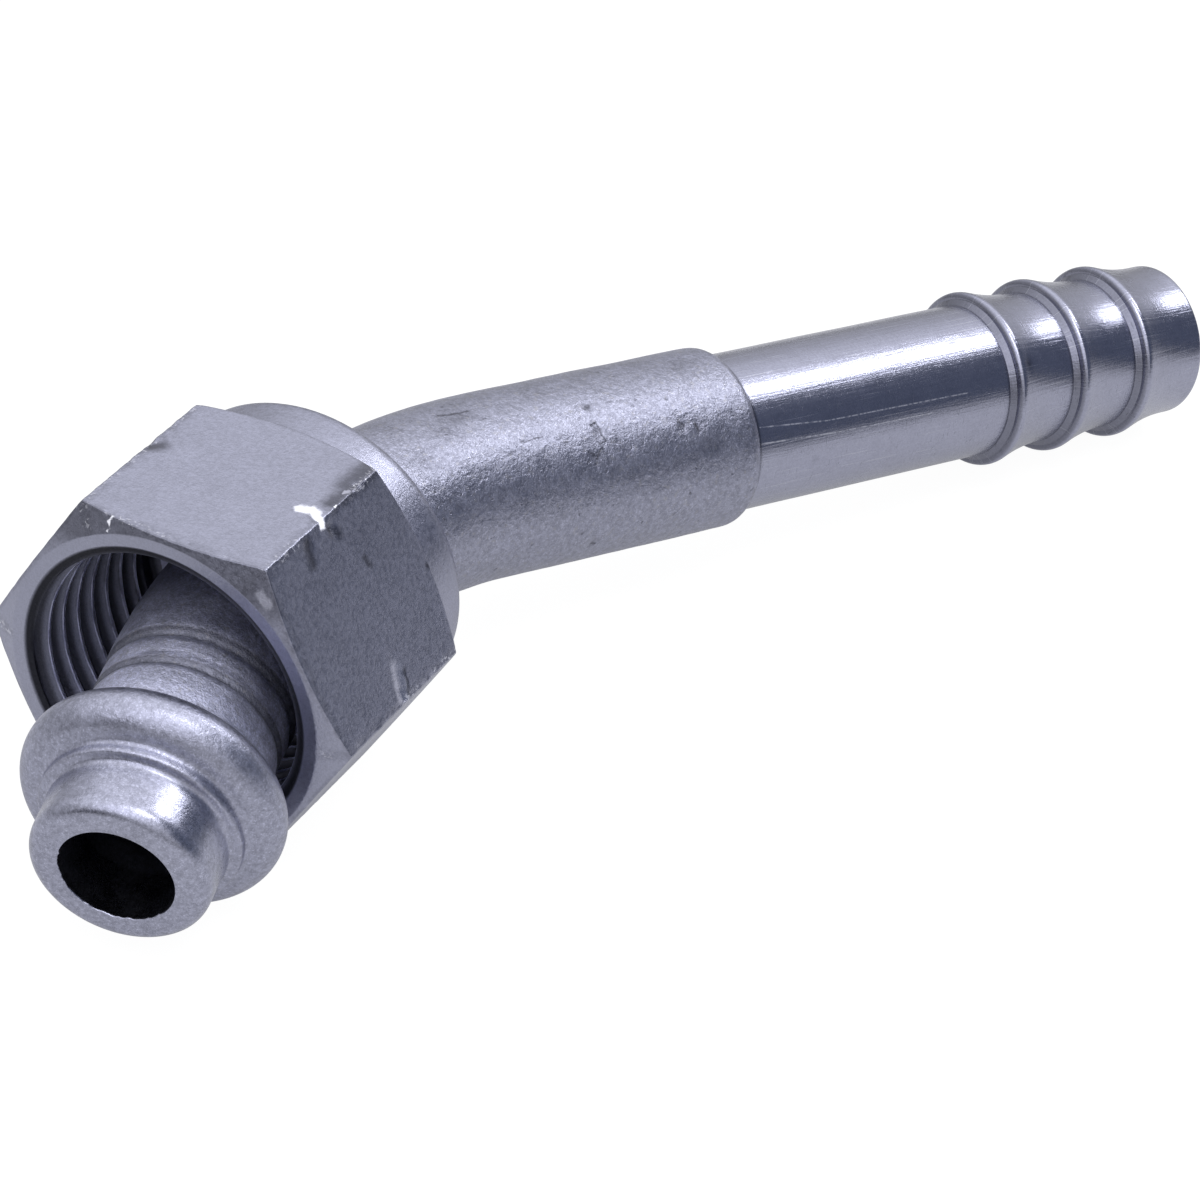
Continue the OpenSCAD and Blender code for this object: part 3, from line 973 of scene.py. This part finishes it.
def machinedMetal():
    n = nut
    material, net = newMaterial("machinedAluminium")
    place = net.millimetres()
    x, y, z = net.parts(place)
    radius = net.length(net.joined(x, 0.0, z))
    worn = net.stored("worn")
    inside = 1 - net.step(radius, *n["boreFade"])
    threaded = inside * net.step(y, *n["threadFade"])
    # painted shade: the threads are painted darker, darkest towards their roots
    rootShade = net.step(radius, *n["rootFade"])
    # painted highlight: the thread's crests are painted lighter
    crest = threaded * (1 - net.step(radius, *n["crestFade"]))
    # painted shade on the countersink
    sunkShade = inside * (1 - net.step(y, *n["sunkFade"]))
    # painted shade on the upper front chamfer
    slope = n["chamferSlope"] * (radius - n["faceRadius"])
    chamfer = net.band(y, slope, *n["chamferShade"])
    chamfer = chamfer * net.step(radius, *n["chamferFade"]) * net.step(z, *n["chamferTop"])
    grain = net.step(net.cloud(place, 8.5, 2.0, 0.6), 0.32, 0.68)
    sand = net.step(net.cloud(place, 3.2, 3.0, 0.65), 0.32, 0.68)
    blotch = net.cloud(place, 0.35, 3.0, 0.6)
    drawn = net.cloud(net.stretched(place, (5.0, 0.25, 5.0)), 1.0, 3.0, 0.65)
    marked = net.ragged(place, place, 2.2, 0.5)
    bare = net.marks(marked, n["bareMarks"])
    grey = net.marks(marked, n["greyMarks"])
    dark = net.marks(marked, n["darkMarks"], 0.1, 2.0)
    patchy = net.step(net.cloud(net.vector("ADD", place, (3, 7, 1)), 0.22, 2.0, 0.5), 0.45, 0.6)
    rubbed = net.step(worn, 0.15, 0.8) * net.step(net.cloud(place, 1.4, 3.0, 0.65), 0.36, 0.56)
    specks = net.step(net.cloud(place, 3.6, 2.0, 0.6), 0.55, 0.62) * net.step(worn, 0.5, 0.85) * patchy
    shining = net.high(bare, 0.35 * specks)
    level = 0.70 + 0.20 * blotch + 0.13 * grain + 0.11 * sand + 0.12 * drawn
    level = level * (1 - 0.32 * chamfer) * (1 - 0.5 * sunkShade) * (1 - 0.6 * dark) * (1 - 0.2 * rubbed)
    level = level * (1 - threaded * (0.3 + 0.5 * rootShade)) * (1 + 1.6 * crest)
    colour = net.scaled(aluminium["tint"], level)
    colour = net.mix(0.7 * grey, colour, aluminium["pale"])
    colour = net.mix(shining, colour, aluminium["bare"])
    rough = 0.27 + 0.10 * sand + 0.10 * blotch + 0.12 * threaded
    turned = net.cloud(net.joined(radius, 0.0, 0.0), 6.0, 2.0, 0.6)
    height = 0.35 * sand + 0.15 * grain + 0.3 * turned * inside + 0.6 * bare
    finishMetal(net, {
        "Base Color": colour,
        "Roughness": rough,
        "Metallic": 1 - shining,
        "Normal": net.bump(height, n["bumpDepth"]),
    })
    return material


def dress(piece, material, body, node):
    piece.data.materials.append(material)
    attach(piece, body)
    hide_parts(node)


dress(tubePiece, tumbledMetal(), "tube", "elbow_tube")
dress(stemPiece, turnedMetal(), "tube", "hose_stem")
dress(nutPiece, machinedMetal(), "nut", "swivel_nut")
print("materials on")


# studio: pale floor, soft surroundings and two lamps

studio = {
    "floorSize": 6.0,
    "floorColour": (0.8, 0.8, 0.8),
    # the white background: how much of the floor is its own white, for the camera and in the metal
    "floorWhite": 1.08,
    "cameraShare": 0.88,
    "metalWhite": 0.62,
    "metalShare": 0.65,
    # painted pool of light: the floor's lit part, as metal mirrors it, is painted darker away from the
    # object: middle, near and far radius, share left
    "pool": ((12, 27), 55, 200, 0.25),
    # the room low down and overhead, and the heights between which it changes
    "low": 0.62,
    "high": 1.38,
    "heights": (0.2, 0.85),
    # what the lamps point at
    "aim": (12, 27, 10),
    # sides of the room: middle, inner and outer angle, colour
    "sides": [
        ((72, 12), 36, 50, (0.12, 0.14, 0.19)),
        ((-164, -4), 14, 26, (0.10, 0.10, 0.12)),
        ((174, 46), 16, 34, (1.75, 1.75, 1.80)),
    ],
    "lamps": {
        # size is across and up, radiance is how bright the lamp's face looks
        "keyStrip": {
            "azimuth": 28,
            "elevation": 43,
            "distance": 0.8,
            "size": (0.15, 0.34),
            "radiance": 6.8,
        },
        "overhead": {
            "azimuth": 118,
            "elevation": 70,
            "distance": 0.8,
            "size": (0.32, 0.30),
            "radiance": 4.3,
        },
    },
}


def makeFloor():
    mesh = bpy.data.meshes.new("floor")
    s = studio["floorSize"] / 2
    mesh.from_pydata([(-s, -s, 0), (s, -s, 0), (s, s, 0), (-s, s, 0)], [], [(0, 1, 2, 3)])
    floor = bpy.data.objects.new("floor", mesh)
    bpy.context.scene.collection.objects.link(floor)
    material, net = newMaterial("paleFloor")
    camera, mirrored = net.rays()
    share = net.low(camera * studio["cameraShare"] + mirrored * studio["metalShare"], 1.0)
    strength = studio["floorWhite"] + (studio["metalWhite"] - studio["floorWhite"]) * mirrored
    # painted pool of light on the floor, as the metal mirrors it
    middle, near, far, left = studio["pool"]
    away = net.length(net.vector("SUBTRACT", net.stretched(net.millimetres(), (1, 1, 0)), (*middle, 0)))
    pool = 1 - (1 - left) * mirrored * net.step(away, near, far)
    strength = strength * pool
    lit = net.node("BsdfDiffuse", None, {"Color": net.scaled(studio["floorColour"], pool)})
    white = net.node("Emission", None, {"Color": (1, 1, 1), "Strength": strength})
    shader = net.node("MixShader", None, {0: share, 1: lit, 2: white})
    net.node("OutputMaterial", None, {"Surface": shader})
    mesh.materials.append(material)


def makeWorld():
    world = bpy.data.worlds.new("studio")
    bpy.context.scene.world = world
    world.use_nodes = True
    net = Net(world.node_tree)
    direction = net.vector("NORMALIZE", net.node("TexCoord"))
    up = net.parts(direction)[2]
    soft = studio["low"] + (studio["high"] - studio["low"]) * net.step(up, *studio["heights"])
    room = net.scaled((1, 1, 1), soft)
    backdrop = room
    for middle, inner, outer, shadeColour in studio["sides"]:
        near = net.dot(direction, tuple(polar(*middle)))
        share = net.step(near, math.cos(math.radians(outer)), math.cos(math.radians(inner)))
        backdrop = net.mix(share, backdrop, shadeColour)
    camera, mirrored = net.rays()
    backdrop = net.mix(camera, backdrop, (1, 1, 1))
    shown = net.low(camera + mirrored, 1.0)
    background = net.node("Background", None, {"Color": net.mix(shown, room, backdrop), "Strength": 1.0})
    net.node("OutputWorld", None, {"Surface": background})


def makeLamp(name, settings):
    data = bpy.data.lights.new(name, "AREA")
    data.shape = "RECTANGLE"
    data.size, data.size_y = settings["size"]
    data.energy = settings["radiance"] * math.pi * data.size * data.size_y
    lamp = bpy.data.objects.new(name, data)
    bpy.context.scene.collection.objects.link(lamp)
    away = Vector(polar(settings["azimuth"], settings["elevation"]))
    lamp.location = Vector(studio["aim"]) * mm + away * settings["distance"]
    lamp.rotation_euler = away.to_track_quat("Z", "Y").to_euler()


makeFloor()
makeWorld()
for lampName, lampSettings in studio["lamps"].items():
    makeLamp(lampName, lampSettings)
bpy.context.scene.view_settings.view_transform = "Standard"
print("studio ready")
